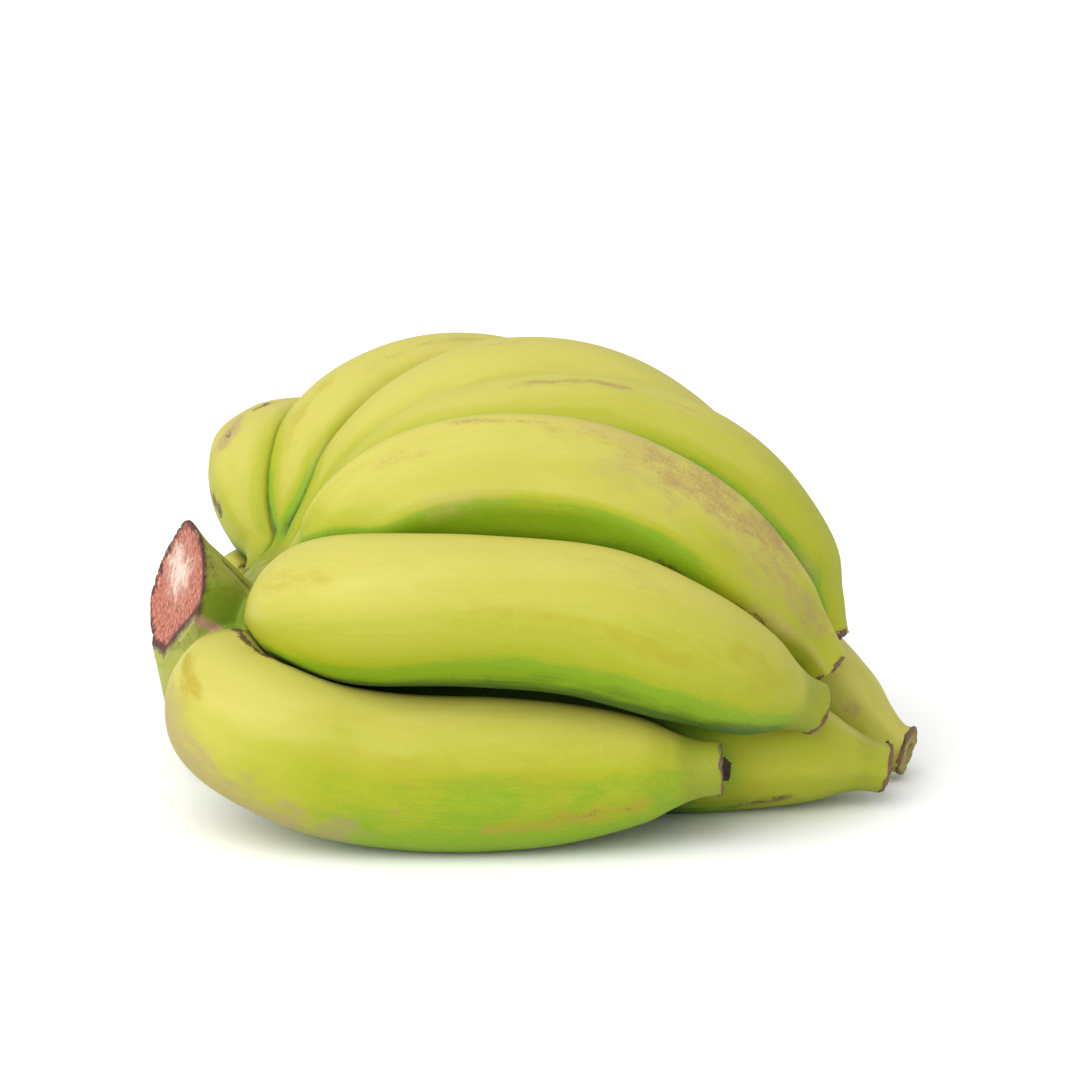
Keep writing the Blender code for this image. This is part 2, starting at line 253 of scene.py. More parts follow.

# How green and shaded each fruit's peel is, from 0 on the sunny side to 1.4 in the deepest shade,
# for how far it faces up, from -1 to 1: partly the peel's own greener colour on its lower side,
# partly painted shade where it faces down
GREEN_AND_SHADE = {
    "front_low": ((-0.9, 1.0), (-0.5, 0.92), (-0.3, 0.87), (0.1, 0.82), (0.3, 0.7), (0.5, 0.5),
                  (0.7, 0.3), (0.9, 0.04)),
    "front_middle": ((-0.85, 1.38), (-0.7, 1.24), (-0.55, 1.08), (-0.42, 0.93), (-0.3, 0.78),
                     (-0.1, 0.58), (0.1, 0.52), (0.3, 0.44), (0.5, 0.28), (0.7, 0.14), (0.9, 0.0)),
    "front_high": ((-0.5, 1.0), (0.08, 1.0), (0.2, 0.88), (0.32, 0.62), (0.45, 0.3), (0.7, 0.12),
                   (0.9, 0.0)),
    "top": ((-0.6, 1.1), (-0.2, 0.98), (0.2, 0.82), (0.5, 0.58), (0.7, 0.42), (0.9, 0.14)),
    "inner_front": ((-0.7, 0.98), (-0.4, 0.85), (0.1, 0.75), (0.4, 0.62), (0.7, 0.4), (0.9, 0.25)),
    "inner_middle": ((-0.6, 0.8), (0.0, 0.4), (0.5, 0.1), (0.9, 0.0)),
}
USUAL_GREEN_AND_SHADE = ((-0.8, 0.98), (-0.4, 0.84), (0.0, 0.66), (0.3, 0.43), (0.55, 0.2), (0.9, 0.0))

# How much painted shade, darker and greener, is added beside another fruit, and how much more
# there near the root
CLOSE_PAINTED_SHADE = {"top": (0.35, 0.25), "front_high": (0.1, 0.2), "front_low": (0.05, 0.0),
              "front_middle": (0.15, 0.0), "top_back": (0.15, 0.5), "back_high": (0.12, 0.65),
              "back": (0.15, 0.45)}
USUAL_CLOSE_PAINTED_SHADE = (0.2, 0.25)

# How the painted shade and green change along a fruit, as millimetres from its root and the
# change, for peel that faces up no more than the last number, and how soon the change fades above
# that
ALONG_GREEN_AND_SHADE = {
    "front_low": ((38, -0.5), (62, 0.0), (92, 0.09), 1.0),
    "front_middle": ((60, -0.16), (85, 0.0), (115, 0.04), (150, 0.0), 0.6),
    "front_high": ((60, -0.08), (105, 0.0), (122, 0.1), (150, -0.3), 0.2),
    "inner_front": ((92, 1.1), (116, 0.25), (132, -0.08), 1.0),
    "inner_middle": ((100, 0.9), (128, 0.0), 1.0),
}
FACING_FADE = 0.2

# How green each fruit's blossom end is, and every neck
GREEN_TIP = {"front_low": 1.0, "front_middle": 0.85, "inner_front": 0.6, "inner_middle": 0.2,
             "front_high": 0.1, "top": 0.2}
USUAL_GREEN_TIP = 0.5
GREEN_NECK = 0.8

# How high each fruit's ridges stand, beside the settings' height
RIDGE_SHARE = {"front_low": 0.35, "front_middle": 0.35, "front_high": 1.0}
USUAL_RIDGE = 0.7

# How much of the dry flower is left at a fruit's tip, beside the largest
FLOWER_LEFT = {"front_low": 1.0, "front_middle": 0.7, "top": 0.4, "back": 0.7, "inner_back": 0.8,
               "inner_middle": 0.1}
LEAST_FLOWER = 0.35

# Where a fruit's neck and blossom end pass into its body, in millimetres from each end, and
# where the neck's painted shade does
NECK_SPAN = (11, 24)
TIP_SPAN = (5, 14)
NECK_SHADE = (30, 75)

# Millimetres from other fruits between which the peel grows free, and its painted shade fades
FREE_GAP = (0.5, 5)
SHADE_GAP = (1.5, 9)
NECK_SHADE_GAP = (1.0, 6.0)

# Millimetres between two fruits in the finish's own space, so that no two look alike
APART = 400.0

# Steps between two points of a route, and the number of even points on the whole of it
CURVE_STEPS = 24
ROUTE_SAMPLES = 160

# How far along each neck the crown's own skin reaches, in millimetres
SLEEVE = 15.0

# How far a piece's box may fall short of its node's box, in metres
PLACE_LIMIT = 0.002

# The floor's width in metres, the camera sensor's in millimetres, and how near and far it sees
FLOOR_SIZE = 14
SENSOR = 36
CLIP = (0.01, 100)

SCAR_SIDES = 48
WAVES = 7
SEED = 11


def tint(name, description, default):
    """A colour setting."""
    return FloatVectorProperty(
        name=name, description=description, default=default, subtype="COLOR", min=0, max=1)


def measure(name, description, default, subtype="DISTANCE"):
    """A number setting, a distance unless told."""
    return FloatProperty(name=name, description=description, default=default, subtype=subtype)


class PeelSettings(bpy.types.PropertyGroup):
    """Shape and finish of the fruits."""

    radius: measure("Body radius", "Radius of a fruit at its thickest", 0.0185)
    ridges: IntProperty(name="Ridges", description="Lengthwise ridges of a fruit", default=5)
    ridge_height: measure(
        "Ridge height", "Height of the ridges as a share of the radius", 0.07, "FACTOR")
    contact_gap: measure("Contact gap", "Gap left where two fruits press on each other", 0.00015)
    crease: measure("Crease", "How softly the edge of a pressed flat turns", 0.0006)
    lump: measure("Unevenness", "Height of the slow swellings of the peel", 0.00028)
    # The peel colours from sunny to deep are lit and shaded copies of the peel: partly its own greener
    # colour on the side away from the light, partly painted light on the sunny side and painted shade
    # on the shaded side; deep is painted shadow in the narrow gaps between fruits
    sunny: tint("Sunny side", "Peel on the side that the light reached", (0.49, 0.45, 0.084))
    soft: tint("Soft light side", "Peel beside the sunny side", (0.428, 0.412, 0.051))
    mid: tint("Body", "Peel between the sunny and the shaded side", (0.358, 0.371, 0.0183))
    turning: tint("Turning side", "Yellow green peel before the shaded side",
                  (0.325, 0.354, 0.00667))
    shaded: tint("Shaded side", "Peel that grew against its neighbours", (0.196, 0.325, 0.00333))
    deep: tint("Deep shade", "Peel in the narrow gap between two fruits", (0.05, 0.117, 0.00833))
    ends: tint("Ends", "Greener peel of the neck and the blossom end", (0.225, 0.258, 0.0133))
    stain: tint("Stain", "Ochre yellow of ripening patches", (0.36, 0.28, 0.012))
    scuff: tint("Scuff", "Tan of rubbed peel", (0.35, 0.225, 0.0833))
    blush: tint("Blush", "Soft pinkish brown of weathered peel", (0.333, 0.225, 0.133))
    bruise: tint("Bruise", "Dark brown of bruised peel", (0.0917, 0.0375, 0.0292))
    tan: tint("Tan ridges", "Tan of the ridges' crests", (0.52, 0.38, 0.13))
    bloom: tint("Bloom", "Pale dust of wax on the peel", (0.67, 0.58, 0.25))
    roughness: measure("Roughness", "Roughness of the waxy peel", 0.54, "FACTOR")


class CrownSettings(bpy.types.PropertyGroup):
    """Shape and finish of the cut crown."""

    voxel: measure("Mesh pitch", "Pitch of the crown's fine mesh", 0.0005)
    flare: measure("Root flare", "How much a neck widens where it grows out of the crown", 0.001)
    flank: tint("Flank", "Olive green of the stalk", (0.325, 0.338, 0.0625))
    # The green flank colour serves as painted shade lower on the flank, towards the necks, and in the
    # shaded mark, which is partly the stalk's own deeper green
    shaded: tint("Green flank", "Deep green of the stalk's sheltered side", (0.195, 0.29, 0.022))
    pale: tint("Ribs", "Yellow green of the stalk's ribs", (0.383, 0.4, 0.0917))
    cut: tint("Cut", "Pink brown of the cut fibres", (0.383, 0.121, 0.0792))
    light: tint("Light fibres", "Paler pink between the cut's darker fibres", (0.567, 0.275, 0.196))
    pith: tint("Pith", "Cream of the middle of the cut", (0.725, 0.6, 0.508))
    pores: tint("Pores", "Dark flecks of the cut's open vessels", (0.167, 0.0375, 0.0292))
    rim: tint("Rim", "Dark dried edge of the cut", (0.0833, 0.0375, 0.035))
    blush: tint("Blush", "Pinkish brown of a rubbed place beside the cut", (0.5, 0.267, 0.225))
    bruise: tint("Bruise", "Dark brown of the flank's flecks", (0.108, 0.0583, 0.0292))


class ScarSettings(bpy.types.PropertyGroup):
    """Shape and finish of the dry flower scars."""

    radius: measure("Radius", "Radius of the scar's collar", 0.0064)
    dark: tint("Dry flower", "Nearly black brown of the dried flower", (0.0375, 0.02, 0.015))
    collar: tint("Collar", "Pinkish brown of the scar's edge", (0.2, 0.104, 0.0667))
    bare: tint("Bare end", "Tan green of an end that the flower fell off cleanly",
               (0.35, 0.3, 0.075))


class StageSettings(bpy.types.PropertyGroup):
    """Floor, lights and camera."""

    floor: tint("Floor", "Colour of the plain floor", (0.98, 0.98, 0.98))
    lamp_strength: measure("Lamp strength", "Strength of the large soft lamp", 2.65, "NONE")
    lamp_spread: measure(
        "Lamp spread", "How wide the lamp looks from the fruit", math.radians(70), "ANGLE")
    lamp_turn: FloatVectorProperty(
        name="Lamp place", description="The direction in which the lamp stands",
        default=(-0.75, -0.9, 1.05), subtype="DIRECTION")
    sky: measure("Surround", "Brightness of the white surround", 0.75, "NONE")
    elevation: measure("Elevation", "How far the camera looks down", math.radians(13), "ANGLE")
    distance: measure("Distance", "From the camera to the middle of its view", 0.8)
    aim_height: measure("Aim height", "Height of the middle of the view", 0.0672)
    lens: measure("Lens", "Focal length in millimetres, 36 mm wide sensor", 108.07, "NONE")


class HandSettings(bpy.types.PropertyGroup):
    """All settings of the hand of bananas."""

    peel: PointerProperty(type=PeelSettings)
    crown: PointerProperty(type=CrownSettings)
    scar: PointerProperty(type=ScarSettings)
    stage: PointerProperty(type=StageSettings)


# The fruits' form


def unit(vectors):
    return vectors / np.linalg.norm(vectors, axis=-1, keepdims=True)


def ease(values, low, high):
    """0 below low, 1 above high and a smooth step between."""
    t = np.clip((values - low) / (high - low), 0, 1)
    return t * t * (3 - 2 * t)


def round_route(angle, first, second):
    """The direction at an angle between two directions across a route."""
    return np.cos(angle) * first + np.sin(angle) * second


def profile(points, distance):
    """The value at a distance along a few given values, with no corners between them."""
    xs, ys = (np.array(values, float) for values in zip(*points))
    slopes = np.gradient(ys, xs)
    slopes[-1] = 0.0
    at = np.clip(distance, xs[0], xs[-1])
    i = np.clip(np.searchsorted(xs, at, side="right") - 1, 0, len(xs) - 2)
    span = xs[i + 1] - xs[i]
    t = (at - xs[i]) / span
    return (
        ys[i] * (1 + 2 * t) * (1 - t) ** 2
        + ys[i + 1] * (3 - 2 * t) * t**2
        + slopes[i] * span * t * (1 - t) ** 2
        + slopes[i + 1] * span * (t - 1) * t**2
    )


def smooth_route(points):
    """Evenly spaced points on a Bezier curve that runs smoothly through the given ones."""
    knots = [Vector(p) for p in points]
    ends = [2 * knots[0] - knots[1], *knots, 2 * knots[-1] - knots[-2]]
    line = [knots[0]]
    for before, start, end, after in zip(ends, ends[1:], ends[2:], ends[3:]):
        handles = start + (end - before) / 6, end - (after - start) / 6
        line += interpolate_bezier(start, *handles, end, CURVE_STEPS)[1:]
    line = np.array(line)
    run = np.concatenate([[0], np.cumsum(np.linalg.norm(np.diff(line, axis=0), axis=1))])
    even = np.linspace(0, run[-1], ROUTE_SAMPLES)
    return even, np.stack([np.interp(even, run, axis) for axis in line.T], axis=1)


def side_vectors(line, along, turn):
    """Two directions across the route at each point, the first turned from the bulging side."""
    middle = len(line) // 2
    bulge = line[middle] - (line[0] + line[-1]) / 2
    first = np.zeros_like(line)
    first[middle] = unit(bulge - (bulge @ along[middle]) * along[middle])
    for step, stop in ((1, len(line)), (-1, -1)):
        for i in range(middle + step, stop, step):
            carried = first[i - step]
            first[i] = unit(carried - (carried @ along[i]) * along[i])
    second = np.cross(along, first)
    return round_route(turn, first, second), round_route(turn, second, -first)


class Fruit:
    """One fruit: its middle line, the directions across it, and its free and pressed radius."""

    around = 120
    along_rows = 200
    ends_dense = 0.45
    tip_cap = ((0.97, 0.25), (0.86, 0.45), (0.6, 0.5), (0.3, 0.5), (0.0, 0.5))
    ridge_power = 3
    ridge_mean = 0.34
    rounds = 5
    creases_near = 8
    least, most = 0.15, 1.6
    reach = 10.0

    def __init__(self, name, settings, index):
        points, thickness, neck, turn = FRUITS[name]
        self.name, self.settings, self.index = name, settings, index
        self.share = RIDGE_SHARE.get(name, USUAL_RIDGE)
        self.run, self.line = smooth_route(points)
        self.step = self.run[1]
        self.length = self.run[-1]
        self.along = unit(np.gradient(self.line, axis=0))
        self.first, self.second = side_vectors(self.line, self.along, math.radians(turn))
        self.body = settings.radius / MM * thickness * np.minimum(
            profile(STEM_PROFILE, self.run - neck),
            profile(BLOSSOM_PROFILE, self.length - self.run),
        )
        share = np.linspace(0, 1, self.along_rows)
        share -= self.ends_dense * np.sin(math.tau * share) / math.tau
        self.stations = share * self.length
        self.angles = np.arange(self.around) * math.tau / self.around
        self.centre, first, second, self.ahead = self.taken_at(
            self.stations, self.line, self.first, self.second, self.along)
        self.outward = unit(round_route(self.angles[None, :, None], first, second))
        self.body_here = np.interp(self.stations, self.run, self.body)[:, None]
        self.free = self.body_here * self.ridge(self.angles)
        self.radius = self.free.copy()
        self.gap = np.full_like(self.free, self.reach)

    def taken_at(self, distances, *grids):
        """Places or directions on the route, taken at other distances along it."""
        return [np.stack([np.interp(distances, self.run, v) for v in grid.T], axis=1)[:, None]
                for grid in grids]

    def crest(self, angle):
        """1 on a ridge's crest, and falling to 0 half way to the next."""
        return np.cos(self.settings.ridges * angle / 2) ** (2 * self.ridge_power)

    def ridge(self, angle):
        return 1 + self.settings.ridge_height * self.share * (self.crest(angle) - self.ridge_mean)

    def skin(self, radius):
        return self.centre + radius[..., None] * self.outward

    def depth_of(self, points):
        """How far each point is from this fruit's free skin, and negative inside it."""
        near = ((self.line**2).sum(1) - 2 * points @ self.line.T).argmin(axis=1)
        away = points - self.line[near]
        slip = np.clip((away * self.along[near]).sum(1), -self.step, self.step)
        away -= slip[:, None] * self.along[near]
        angle = np.arctan2((away * self.second[near]).sum(1), (away * self.first[near]).sum(1))
        body = np.interp(self.run[near] + slip, self.run, self.body)
        return np.linalg.norm(away, axis=1) - body * self.ridge(angle)

    def pressed_by(self, other):
        """The radius at which this skin meets the other, and how far off the free skins are."""
        gap, crease = self.settings.contact_gap / MM, self.settings.crease / MM
        mine, theirs = self.skin(self.free), other.skin(other.free).reshape(-1, 3)
        inside = (mine > theirs.min(0) - self.reach) & (mine < theirs.max(0) + self.reach)
        inside = inside.all(axis=-1)
        apart = np.full_like(self.free, self.reach)
        apart[inside] = other.depth_of(mine[inside])
        near = apart < gap + self.creases_near * crease
        centre = np.broadcast_to(self.centre, self.outward.shape)[near]
        outward, free = self.outward[near], self.free[near]
        radius = free.copy()
        for _ in range(self.rounds):
            points = centre + radius[:, None] * outward
            radius += 0.5 * (other.depth_of(points) - self.depth_of(points) - gap)
            radius = np.clip(radius, self.least * free, self.most * free)
        met = np.full_like(self.free, np.inf)
        met[near] = radius
        return met, apart

    def press(self, others):
        crease = self.settings.crease / MM
        total = np.ones_like(self.free)
        for other in others:
            if other is not self:
                met, apart = self.pressed_by(other)
                total += np.exp((self.free - met) / crease)
                self.gap = np.minimum(self.gap, apart)
        self.radius = self.free - crease * np.log(total)


@functools.cache
def fruits_of(settings):
    """All fruits, pressed against each other, by name, worked out once for all operators."""
    made = {name: Fruit(name, settings, i) for i, name in enumerate(FRUITS)}
    for fruit in made.values():
        fruit.press(made.values())
    return made


def swell(places, rng, length):
    """A slow random swelling between about -1 and 1, made of a few waves of one length."""
    total = np.zeros(places.shape[:-1])
    for _ in range(WAVES):
        direction = unit(rng.normal(size=3))
        total += np.sin(places @ direction * math.tau / length + rng.uniform(0, math.tau))
    return total / math.sqrt(WAVES)


def off_path(away, run):
    """How far places lie off a straight path, given as seen from its start, which runs by run."""
    share = (away * run).sum(-1, keepdims=True) / (run**2).sum(-1, keepdims=True)
    return np.linalg.norm(away - np.clip(share, 0, 1) * run, axis=-1)


# Meshes


def deselect():
    if bpy.context.mode != "OBJECT":
        bpy.ops.object.mode_set(mode="OBJECT")
    bpy.ops.object.select_all(action="DESELECT")


def pick(piece):
    deselect()
    piece.select_set(True)
    bpy.context.view_layer.objects.active = piece


def places_of(mesh):
    flat = np.empty(len(mesh.vertices) * 3, np.float32)
    mesh.vertices.foreach_get("co", flat)
    return flat.reshape(-1, 3).astype(float)


def put_places(mesh, places):
    mesh.vertices.foreach_set("co", np.asarray(places, np.float32).ravel())
    mesh.update()


def put_values(mesh, name, values):
    """Stores one number, or three, for each vertex."""
    values = np.asarray(values, np.float32)
    kind, key = ("FLOAT", "value") if values.ndim == 1 else ("FLOAT_VECTOR", "vector")
    mesh.attributes.new(name, kind, "POINT").data.foreach_set(key, values.ravel())


def roll_up(name, rings, values):
    """A closed skin through rings of points: a grid that is rolled up, its ends drawn together."""
    rows, around = rings.shape[:2]
    deselect()
    bpy.ops.mesh.primitive_grid_add(x_subdivisions=around, y_subdivisions=rows - 1, size=1)
    piece = bpy.context.active_object
    piece.name = piece.data.name = name
    flat = places_of(piece.data)
    column = np.rint((flat[:, 0] + 0.5) * around).astype(int) % around
    row = np.rint((flat[:, 1] + 0.5) * (rows - 1)).astype(int)
    put_places(piece.data, np.clip((rings[row, column] + HAND_SHIFT) * MM, *CAD_BOX))
    for key, value in values.items():
        put_values(piece.data, key, value[row, column])
    bpy.ops.object.mode_set(mode="EDIT")
    bpy.ops.mesh.select_all(action="SELECT")
    bpy.ops.mesh.remove_doubles(threshold=1e-7)
    bpy.ops.mesh.normals_make_consistent(inside=False)
    bpy.ops.object.mode_set(mode="OBJECT")
    bpy.ops.object.shade_smooth()
    return piece


def finish_piece(piece, node, material):
    """Gives a piece its finish and puts it in a node's place."""
    piece.data.materials.clear()
    piece.data.materials.append(material)
    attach(piece, "root")
    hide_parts(node)


def marks_on(fruit, rng):
    """How strongly each kind of mark shows at each place of a fruit's skin."""
    along, body = fruit.stations[:, None], fruit.body_here
    round_mm, turn = body * fruit.angles, math.tau * body
    behind = ease(fruit.outward[..., 1], 0.0, 0.4)
    listed = [(mark, 1.0) for mark in MARKS.get(fruit.name, ())]
    for _ in range(CHANCE_MARKS):
        start = np.array((rng.uniform(0.25, 0.85) * fruit.length, rng.uniform(-180, 180)))
        end = start + (rng.uniform(2, 22), rng.uniform(-14, 14))
        kind = MARK_KINDS[rng.choice(len(MARK_KINDS), p=CHANCES)]
        mark = kind, rng.uniform(0.4, 0.8), rng.uniform(1, 3.5), start, end
        listed.append((mark, behind))
    straight = np.stack(np.broadcast_arrays(
        body * np.cos(fruit.angles), body * np.sin(fruit.angles), along), -1)
    uneven = 0.3 * swell(straight, rng, 9) + 0.2 * swell(straight, rng, 4)
    found = {kind: np.zeros_like(fruit.free) for kind in MARK_KINDS}
    for (kind, strength, width, *places), where in listed:
        for (s0, a0), (s1, a1) in zip(places, places[1:]):
            r0, r1 = (math.radians(a) * body for a in (a0, a1))
            off = (round_mm - r0 + turn / 2) % turn - turn / 2
            away = np.stack(np.broadcast_arrays(along - s0, off), -1)
            run = np.stack(np.broadcast_arrays(s1 - s0, r1 - r0), -1)
            away = off_path(away, run) + uneven * width
            weight = strength * (1 - ease(away, 0.1 * width, 1.7 * width)) * where
            found[kind] = np.maximum(found[kind], weight)
    return found


def green_and_shade_of(fruit, rings, stem):
    """How green and shaded the peel is: its own greener lower side, and painted shade where it faces
    down, beside other fruits and near the root.
    """
    across = np.roll(rings, -1, axis=1) - np.roll(rings, 1, axis=1)
    normal = unit(np.cross(across, np.gradient(rings, axis=0)))
    facing = normal[..., 2] * np.sign((normal * fruit.outward).sum(-1))
    green_and_shade = np.interp(facing, *zip(*GREEN_AND_SHADE.get(fruit.name, USUAL_GREEN_AND_SHADE)))
    close, near_root = CLOSE_PAINTED_SHADE.get(fruit.name, USUAL_CLOSE_PAINTED_SHADE)
    green_and_shade += close * (1 - ease(fruit.gap, *SHADE_GAP))
    green_and_shade += near_root * (1 - ease(stem, *NECK_SHADE)) * (1 - ease(fruit.gap, *NECK_SHADE_GAP))
    if fruit.name in ALONG_GREEN_AND_SHADE:
        *stops, highest = ALONG_GREEN_AND_SHADE[fruit.name]
        green_and_shade += np.interp(stem, *zip(*stops)) * (
            1 - ease(facing, highest, highest + FACING_FADE))
        green_and_shade = np.maximum(green_and_shade, 0)
    return green_and_shade


def model_fruit(fruit):
    """One fruit's skin, with what its finish needs to know at each vertex."""
    def extended(grid):
        return np.concatenate([grid[:1], grid, *[grid[-1:]] * len(caps)])

    rng = np.random.default_rng(SEED + fruit.index)
    stem = np.broadcast_to(fruit.stations[:, None], fruit.free.shape)
    straight = np.stack(
        (fruit.free * np.cos(fruit.angles), fruit.free * np.sin(fruit.angles), stem), axis=-1)
    lumps = 0.7 * swell(straight, rng, 60) + 0.3 * swell(straight, rng, 22)
    loose = ease(fruit.gap, *FREE_GAP)
    rings = fruit.skin(fruit.radius + loose * (lumps - 1) * fruit.settings.lump / MM)
    rings[..., 2] = np.maximum(rings[..., 2], 0.0)
    tip = fruit.centre[-1]
    caps = [tip + share * (rings[-1] - tip) + rise * fruit.ahead[-1]
            for share, rise in fruit.tip_cap]
    root = fruit.centre[0] + 0 * rings[0]
    neck = GREEN_NECK * (1 - ease(stem, *NECK_SPAN))
    green_tip = GREEN_TIP.get(fruit.name, USUAL_GREEN_TIP)
    green_tip = green_tip * (1 - ease(fruit.length - stem, *TIP_SPAN))
    crest = np.broadcast_to(fruit.share * fruit.crest(fruit.angles), fruit.free.shape)
    values = {
        "straight": (straight + np.array((0, 0, APART * fruit.index))) * MM,
        "green_and_shade": green_and_shade_of(fruit, rings, stem),
        "end": np.maximum(neck, green_tip),
        "crest": crest,
        **marks_on(fruit, rng),
    }
    values = {key: extended(value) for key, value in values.items()}
    return roll_up("fruit_" + fruit.name, np.concatenate([[root], rings, caps]), values)


# Finishes


VECTOR, FLOAT = "NodeSocketVector", "NodeSocketFloat"
NODES_IN_ROW = 8
NODE_PITCH = (220, -260)


def is_socket(value):
    return isinstance(value, bpy.types.NodeSocket)


def put(tree, kind, inputs=None, **settings):
    """A new node of a shader. Inputs go by name or number, and each is a value or a socket."""
    node = tree.nodes.new("ShaderNode" + kind)
    for key, value in settings.items():
        setattr(node, key, value)
    for key, value in (inputs or {}).items():
        if is_socket(value):
            tree.links.new(value, node.inputs[key])
        else:
            node.inputs[key].default_value = value
    row, column = divmod(len(tree.nodes), NODES_IN_ROW)
    node.location = (column * NODE_PITCH[0], row * NODE_PITCH[1])
    return node


def math_of(operation, *values):
    tree = next(filter(is_socket, values)).id_data
    return put(tree, "Math", dict(enumerate(values)), operation=operation).outputs[0]


def times(first, second):
    return math_of("MULTIPLY", first, second)


def plus(first, second):
    return math_of("ADD", first, second)


def about_zero(noise, much):
    """A noise between 0 and 1, moved to lie about 0 and stretched."""
    return times(math_of("SUBTRACT", noise, 0.5), much)


def span_of(value, low, high):
    """0 where the value is at low or below, 1 at high or above, and smooth between."""
    return put(value.id_data, "MapRange", {
        "Value": value, "From Min": low, "From Max": high},
        interpolation_type="SMOOTHSTEP").outputs["Result"]


def blend_of(share, under, over):
    """The colour under, covered by the colour over where share is 1."""
    under, over = (value if is_socket(value) else (*value, 1) for value in (under, over))
    return put(share.id_data, "Mix", {0: share, 6: under, 7: over},
               data_type="RGBA").outputs[2]


def painted(colour, over, value, low, high, cover=1.0):
    """A colour with another over it, which appears while the value passes from low to high."""
    share = span_of(value, low, high)
    return blend_of(times(share, cover) if cover < 1 else share, colour, over)


def noise_of(place, scale, detail=2.0, rough=0.5, distortion=0.0):
    return put(place.id_data, "TexNoise", {
        "Vector": place, "Scale": scale, "Detail": detail, "Roughness": rough,
        "Distortion": distortion}).outputs["Fac"]


def stretched(place, factors):
    return put(place.id_data, "VectorMath", {0: place, 1: factors},
               operation="MULTIPLY").outputs[0]


def stored(tree, name, output="Fac"):
    return put(tree, "Attribute", attribute_name=name).outputs[output]


def grouped(name, inputs, build):
    """The result of a node group, which is built once, for inputs given by label and value."""
    made = bpy.data.node_groups.get(name)
    if made is None:
        made = bpy.data.node_groups.new(name, "ShaderNodeTree")
        for label in inputs:
            made.interface.new_socket(
                label, in_out="INPUT", socket_type=VECTOR if label == "Place" else FLOAT)
        made.interface.new_socket("Share", in_out="OUTPUT", socket_type=FLOAT)
        result = build(made, made.nodes.new("NodeGroupInput").outputs)
        made.links.new(result, made.nodes.new("NodeGroupOutput").inputs[0])
    return put(inputs["Place"].id_data, "Group", inputs, node_tree=made).outputs[0]


def streaks_of(place, across, along):
    """Fibres that run along the third axis: noise drawn out lengthwise."""
    def build(tree, given):
        scale = put(tree, "CombineXYZ", {
            0: given["Across"], 1: given["Across"], 2: given["Along"]}).outputs[0]
        return noise_of(stretched(given["Place"], scale), 1.0, 4.0, 0.6)
    return grouped("Lengthwise streaks", {"Place": place, "Across": across, "Along": along}, build)


def specks_of(place, scale, size, some):
    """Small scattered dots, each a little uneven."""
    def build(tree, given):
        cells = put(tree, "TexVoronoi", {
            "Vector": given["Place"], "Scale": given["Scale"]}).outputs
        chance = put(tree, "SeparateXYZ", {0: cells["Color"]}).outputs[0]
        dot = math_of("LESS_THAN", cells["Distance"], times(given["Size"], chance))
        return times(dot, math_of("GREATER_THAN", given["Some"], chance))
    return grouped("Specks", {"Place": place, "Scale": scale, "Size": size, "Some": some}, build)


def new_material(name):
    made = bpy.data.materials.new(name)
    made.use_nodes = True
    return made, made.node_tree, made.node_tree.nodes["Principled BSDF"]


def dress(shader, colour, roughness, height, strength, depth, specular):
    """Feeds a finish's colour, roughness and relief to its shader."""
    tree = shader.id_data
    bump = put(tree, "Bump", {"Height": height, "Strength": strength, "Distance": depth})
    for value, name in ((colour, "Base Color"), (roughness, "Roughness"), (bump.outputs[0], "Normal")):
        tree.links.new(value, shader.inputs[name])
    shader.inputs["Specular IOR Level"].default_value = specular


def peel_material(settings):
    """Waxy peel: sunny and shaded sides, partly its own greener colour and partly painted light and
    painted shade, soft mottling, fine fibres, marks and greener ends.
    """
    made, tree, shader = new_material("waxy peel")
    place = stored(tree, "straight", "Vector")
    crest, shade, end = (stored(tree, name) for name in ("crest", "green_and_shade", "end"))
    cloud, mottle, fibre, grain = (streaks_of(place, across, along) for across, along in (
        (70.0, 34.0), (330.0, 150.0), (1100.0, 36.0), (2400.0, 1500.0)))

    # The peel's colour from sunny to deep by its shade value: painted light on top, painted shade
    # below and darkest in the gaps between fruits, partly the peel's own greener side
    for noise, much in ((cloud, 0.5), (mottle, 0.16), (fibre, 0.2)):
        shade = plus(shade, about_zero(noise, much))
    colour = settings.sunny
    for low, high, over in ((0.02, 0.32, settings.soft), (0.3, 0.6, settings.mid),
                            (0.62, 0.84, settings.turning), (0.82, 1.02, settings.shaded),
                            (1.08, 1.4, settings.deep)):
        colour = painted(colour, over, shade, low, high)

    end = plus(end, times(about_zero(cloud, 1.0), span_of(end, 0.0, 0.4)))
    colour = painted(colour, settings.ends, end, 0.1, 0.9, 0.85)

    tan = times(span_of(crest, 0.2, 1.0), span_of(cloud, 0.45, 0.65))
    colour = blend_of(times(tan, 0.45), colour, settings.tan)
    colour = painted(colour, settings.bloom, grain, 0.5, 0.75, 0.12)
    specks = specks_of(place, 300.0, 0.16, 0.35)
    colour = blend_of(times(specks, 0.35), colour, settings.scuff)

    worn = plus(about_zero(mottle, 1.5), about_zero(grain, 1.9))
    for kind, tear, least, most, cover in (
            ("stain", 0.6, 0.1, 1.1, 0.8), ("blush", 0.45, -0.1, 1.2, 0.75),
            ("scuff", 1.0, 0.25, 1.15, 0.85), ("bruise", 1.0, 0.3, 0.9, 0.95)):
        weight = stored(tree, kind)
        torn = plus(times(worn, times(span_of(weight, 0.0, 0.35), tear)), weight)
        colour = painted(colour, getattr(settings, kind), torn, least, most, cover)

    rough = math_of("MULTIPLY_ADD", mottle, 0.12, settings.roughness - 0.06)
    height = math_of("MULTIPLY_ADD", fibre, 0.35, grain)
    dress(shader, colour, rough, height, 0.16, 0.0003, 0.24)
    shader.inputs["Coat Weight"].default_value = 0.03
    shader.inputs["Coat Roughness"].default_value = 0.4
    return made


